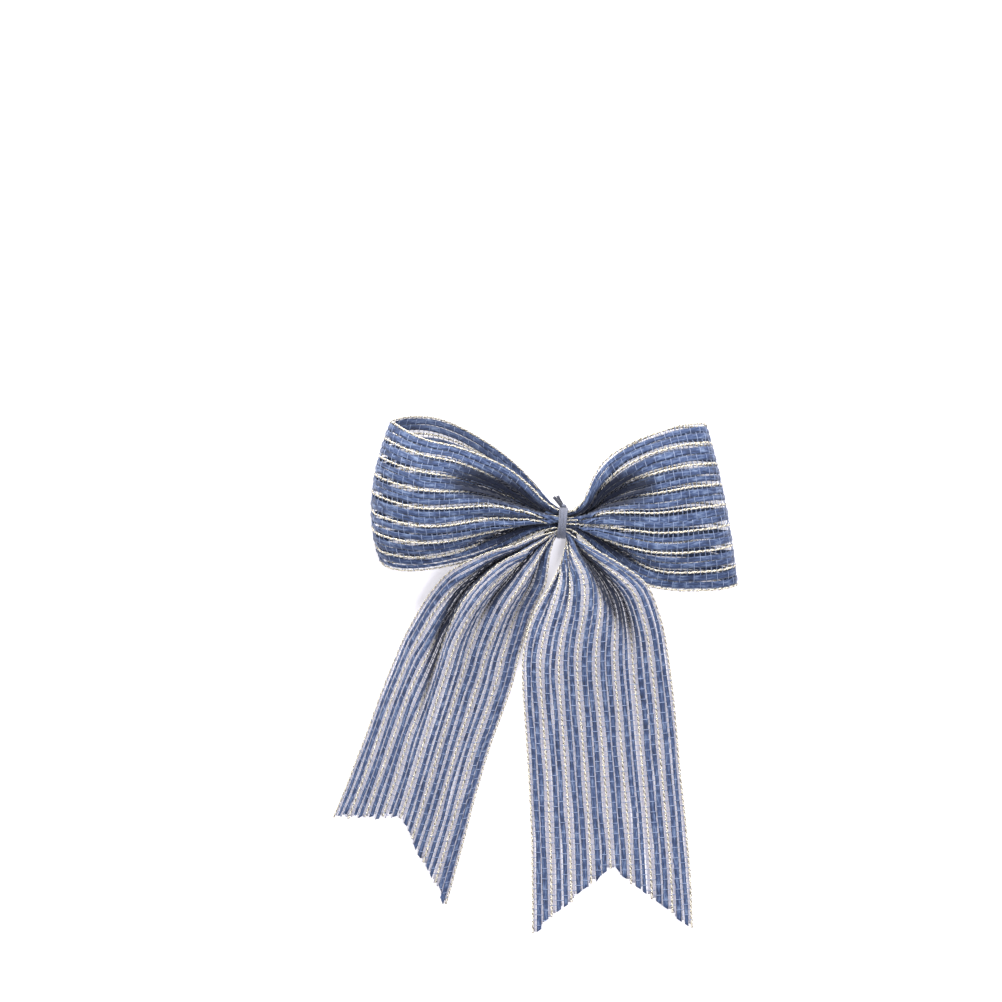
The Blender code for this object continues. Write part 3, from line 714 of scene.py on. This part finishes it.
rightTailShape = {
    "ribs": [
        ((0.2, -4.8, 5.2), (0.0, -3.9, 6.6), (0.0, -2.8, 7.2)),
        ((1.5, -6.0, 5.6), (2.2, -5.2, 7.2), (2.8, -4.4, 7.8)),
        ((0.9, -9.0, 6.2), (3.8, -8.2, 8.6), (7.2, -7.4, 8.6)),
        ((-0.5, -14.4, 7.2), (5.3, -12.6, 10.4), (12.4, -10.2, 9.8)),
        ((-2.7, -19.6, 7.8), (7.8, -18, 11.2), (20, -14.6, 10.8)),
        ((-5.5, -25, 7.8), (9.8, -25, 11.6), (27.5, -19.4, 11.4)),
        ((-9.4, -31.6, 7.4), (11.4, -33, 11.4), (33.2, -25.2, 11.0)),
        ((-13.3, -41, 6.6), (12.5, -43, 10.0), (38.0, -38, 9.0)),
        ((-15.4, -52, 5.6), (13, -54, 8.0), (40.6, -51, 6.2)),
        ((-15.4, -63, 4.0), (13.5, -65, 5.8), (42.3, -63, 4.0)),
        ((-14.5, -76, 2.4), (14, -78, 3.6), (43.7, -76, 2.4)),
        ((-13.2, -96, 1.2), (15, -97, 2.0), (45.5, -96, 1.2)),
        ((-12.2, -118, 0.8), (16, -119, 1.2), (47.8, -118, 0.8)),
        ((-11.8, -140, 0.7), (16.8, -141, 0.9), (49.6, -140, 0.7)),
        ((-11.7, -163, 0.7), (17, -164, 0.7), (50.3, -163, 0.7)),
    ],
    "folds": [
        (0.14, 0.06, 1.2, 2, 18, 54, 0, 0.14),
        (0.40, 0.10, 1.8, 2, 24, 72, 0, 0.40),
        (0.66, 0.07, -3.0, 2, 24, 68, 0, 0.80),
        (0.86, 0.07, 2.0, 2, 26, 66, 0, 0.92),
    ],
    "valleys": [(0.06, 0.03, 0.6), (0.24, 0.03, 0.4), (0.67, 0.08, 1.0)],
    "leastYarn": 0.72, "yarnSpread": 0.9, "sheer": True, "shade": 0.0,
    "facing": 1, "pleatLimit": 4.6, "pleatReach": 46, "cut": (-157.8, -132.2, -156),
    "seed": 0.8, "randomSeed": 14, "cutLength": 0.168, "cutArea": 0.168 * 0.063 * 0.93, "body": "right_tail",
    "blendTo": -8,
}
waistShape = {
    "ribs": [
        ((-7.0, -3.6, 5.2), (-7.1, 1.0, 5.6), (-6.4, 6.0, 5.0)),
        ((-3.5, -3.9, 5.2), (-3.5, 0.4, 5.5), (-3.3, 4.8, 5.2)),
        ((0, -4.3, 5.2), (0, 0.2, 5.4), (0, 4.4, 5.2)),
        ((3.5, -4.3, 5.2), (3.6, 0.2, 5.5), (3.3, 4.2, 5.2)),
        ((6.6, -5.0, 5.2), (7.1, 0.4, 5.6), (6.2, 5.4, 5.0)),
    ],
    "folds": [],
    "valleys": [(0.12, 0.03, 1.0), (0.25, 0.03, 0.9), (0.38, 0.03, 1.0), (0.5, 0.03, 0.9), (0.63, 0.03, 1.0),
                (0.76, 0.03, 0.9), (0.88, 0.03, 1.0)],
    "leastYarn": 0.95, "yarnSpread": 1.1, "sheer": False, "shade": 0.0,
    "facing": 1, "pleatLimit": 4.0, "pleatReach": 200,
    "seed": 0.4, "randomSeed": 15, "cutLength": 0.014,
}

ribbonLooks = [rayonYarn(), metallizedFoil(), creamPly(), nylonWeft(), nylonGroundAndPaintedShade()]  # in slot order


def makeSection(name, shape):
    made = weave(name, shape, ribbonLooks)
    body = shape["body"]
    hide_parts(body)
    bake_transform(made)
    return made


leftLoop = makeSection("left_loop_weave", leftLoopShape)
rightLoop = makeSection("right_loop_weave", rightLoopShape)
leftTail = makeSection("left_tail_weave", leftTailShape)
rightTail = makeSection("right_tail_weave", rightTailShape)
waist = weave("waist_weave", waistShape, ribbonLooks)
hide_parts("waist")
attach(waist, "waist")


# ---- the tie ----

tie = {
    "lean": 5.0,  # degrees, top to the right
    "width": 3.3 * mm,
    "strands": 8,
    "strandRadius": 0.25 * mm,
    "centreY": -0.4 * mm,
    "innerHalfY": 5.1 * mm,
    "innerHalfZ": 4.75 * mm,
    "centreZ": 5.415 * mm,
    "layers": (0.27 * mm, 0.72 * mm),
    "endRadius": 0.33 * mm,
    "endPitch": 2.2 * mm,
}
tieLook = spunYarn("spunPolyesterYarn", "#474b5a", "#8f93a8")
tieEndLook = spunYarn("spunPolyesterYarnCutEnd", "#2a2c36", "#5c6070")


def lean(points):
    turn = -math.radians(tie["lean"])
    points = np.array(points, float)
    x, y = points[:, 0].copy(), points[:, 1].copy()
    points[:, 0] = x * math.cos(turn) - y * math.sin(turn)
    points[:, 1] = x * math.sin(turn) + y * math.cos(turn)
    return points


def windTie():
    threads = ThreadMesh()
    chance = np.random.default_rng(5)
    around = np.linspace(0, 2 * np.pi, 72, endpoint=False)
    for layer, out in enumerate(tie["layers"]):
        for strand in range(tie["strands"] - layer):
            x = ((strand + 0.5 + layer * 0.5) / tie["strands"] - 0.5) * tie["width"]
            wander = 0.10 * mm * np.sin(around * 2 + chance.uniform(0, 6.28))
            wander = wander + 0.05 * mm * np.sin(around * 5 + strand)
            grow = out + 0.06 * mm * np.sin(around * 3 + chance.uniform(0, 6.28))
            y = tie["centreY"] + (tie["innerHalfY"] + grow) * np.cos(around)
            z = tie["centreZ"] + (tie["innerHalfZ"] + grow) * np.sin(around)
            z = np.maximum(z, tie["strandRadius"] * 1.05)
            path = lean(np.stack([x + wander, y, z], 1))
            normal = lean(np.stack([0 * y, np.cos(around), np.sin(around)], 1))
            halfWide = tie["strandRadius"] * chance.uniform(0.9, 1.15)
            threads.tube(path, normal, halfWide, tie["strandRadius"], 7, 0, closed=True)
    return threads.finish("tie_winding_yarn", [tieLook])


def twisted(threads, path, slot):
    # three plies round a path
    plies, radius, pitch = 3, tie["endRadius"], tie["endPitch"]
    path = np.array(path, float) * mm
    at = np.linspace(0, len(path) - 1, 14 * len(path))
    ribs = throughRibs(path[:, None], at)[:, 0]
    along = np.gradient(ribs, axis=0)
    along /= np.linalg.norm(along, axis=1, keepdims=True)
    side = np.cross(along, np.array([0.3, 0.2, 1.0]))
    side /= np.linalg.norm(side, axis=1, keepdims=True)
    up = np.cross(side, along)
    length = np.concatenate([[0], np.cumsum(np.linalg.norm(np.diff(ribs, axis=0), axis=1))])
    for ply in range(plies):
        turn = length / pitch * 2 * np.pi + ply * 2 * np.pi / plies
        offset = side * (np.cos(turn) * radius)[:, None] + up * (np.sin(turn) * radius)[:, None]
        threads.tube(ribs + offset, up, radius * 1.05, radius * 1.05, 6, slot)


def knotTie():
    threads = ThreadMesh()
    # the knot's turn around the two ends, then the ends
    twisted(threads, [(0.9, 5.6, 4.6), (0.3, 6.1, 6.4), (-0.5, 5.9, 5.0), (0.1, 5.7, 3.9), (1.0, 5.8, 4.6),
                      (0.5, 6.4, 6.0)], 0)
    twisted(threads, [(0.5, 5.1, 5.2), (-0.4, 6.1, 6.2), (-1.5, 7.4, 7.0), (-2.6, 8.7, 7.4),
                      (-3.3, 9.5, 7.5)], 1)
    twisted(threads, [(0.7, 5.2, 4.6), (0.1, 6.2, 5.0), (-0.7, 7.6, 5.6), (-1.4, 8.9, 6.0),
                      (-1.8, 9.9, 6.1)], 1)
    return threads.finish("tie_knot_yarn", [tieLook, tieEndLook])


winding = windTie()
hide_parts("tie_winding")
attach(winding, "waist")
knot = knotTie()
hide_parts("tie_knot")
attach(knot, "waist")
print("tie made")


# ---- floor, light and camera ----

def makeFloor():
    look = {"colour": "#f6f3f8", "glow": 0.46, "size": 3.0}
    bpy.ops.object.select_all(action="DESELECT")
    bpy.ops.mesh.primitive_plane_add(size=look["size"], location=(0, 0, 0))
    floor = bpy.context.active_object
    floor.name = "studioFloor"
    # opal acrylic lit a little from below, as product tables are: it keeps shadows pale
    material, tree, shader = newMaterial("opalLightTable")
    shader.inputs["Base Color"].default_value = linearColour(look["colour"])
    shader.inputs["Roughness"].default_value = 0.9
    shader.inputs["Emission Color"].default_value = linearColour(look["colour"])
    shader.inputs["Emission Strength"].default_value = look["glow"]
    floor.data.materials.append(material)


def addLight(name, place, aim, size, power, colour):
    data = bpy.data.lights.new(name, "AREA")
    data.shape = "RECTANGLE"
    data.size, data.size_y = size
    data.energy = power
    data.color = linearColour(colour)[:3]
    light = bpy.data.objects.new(name, data)
    bpy.context.scene.collection.objects.link(light)
    light.location = place
    way = np.array(place) - np.array(aim)
    tilt = math.atan2(math.hypot(way[0], way[1]), way[2])
    light.rotation_euler = (tilt, 0, math.atan2(way[1], way[0]) + math.pi / 2)


def lightStudio():
    world = bpy.data.worlds.new("softStudio")
    bpy.context.scene.world = world
    world.use_nodes = True
    background = world.node_tree.nodes["Background"]
    background.inputs["Color"].default_value = linearColour("#eef1f6")
    background.inputs["Strength"].default_value = 0.38
    addLight("keySoftbox", (-0.18, 0.78, 0.52), (0, -0.03, 0), (0.6, 0.45), 13.0, "#fffdf8")
    addLight("fillSoftbox", (0.35, -0.2, 1.1), (0, -0.03, 0), (0.4, 0.4), 7.0, "#f6f8ff")


def placeCamera():
    # frameWidth is how much the camera sees from side to side, measured at subjectHeight above the table
    view = {"centre": (-0.0235, 0.0080), "frameWidth": 0.3828, "subjectHeight": 0.006,
            "lens": 150.0, "sensor": 36.0}
    data = bpy.data.cameras.new("viewCamera")
    data.lens = view["lens"]
    data.sensor_width = view["sensor"]
    camera = bpy.data.objects.new("viewCamera", data)
    bpy.context.scene.collection.objects.link(camera)
    height = view["frameWidth"] * view["lens"] / view["sensor"]
    camera.location = (view["centre"][0], view["centre"][1], height + view["subjectHeight"])
    camera.rotation_euler = (0, 0, 0)
    bpy.context.scene.camera = camera


makeFloor()
lightStudio()
placeCamera()
bpy.context.scene.view_settings.view_transform = "Standard"
print("studio made")
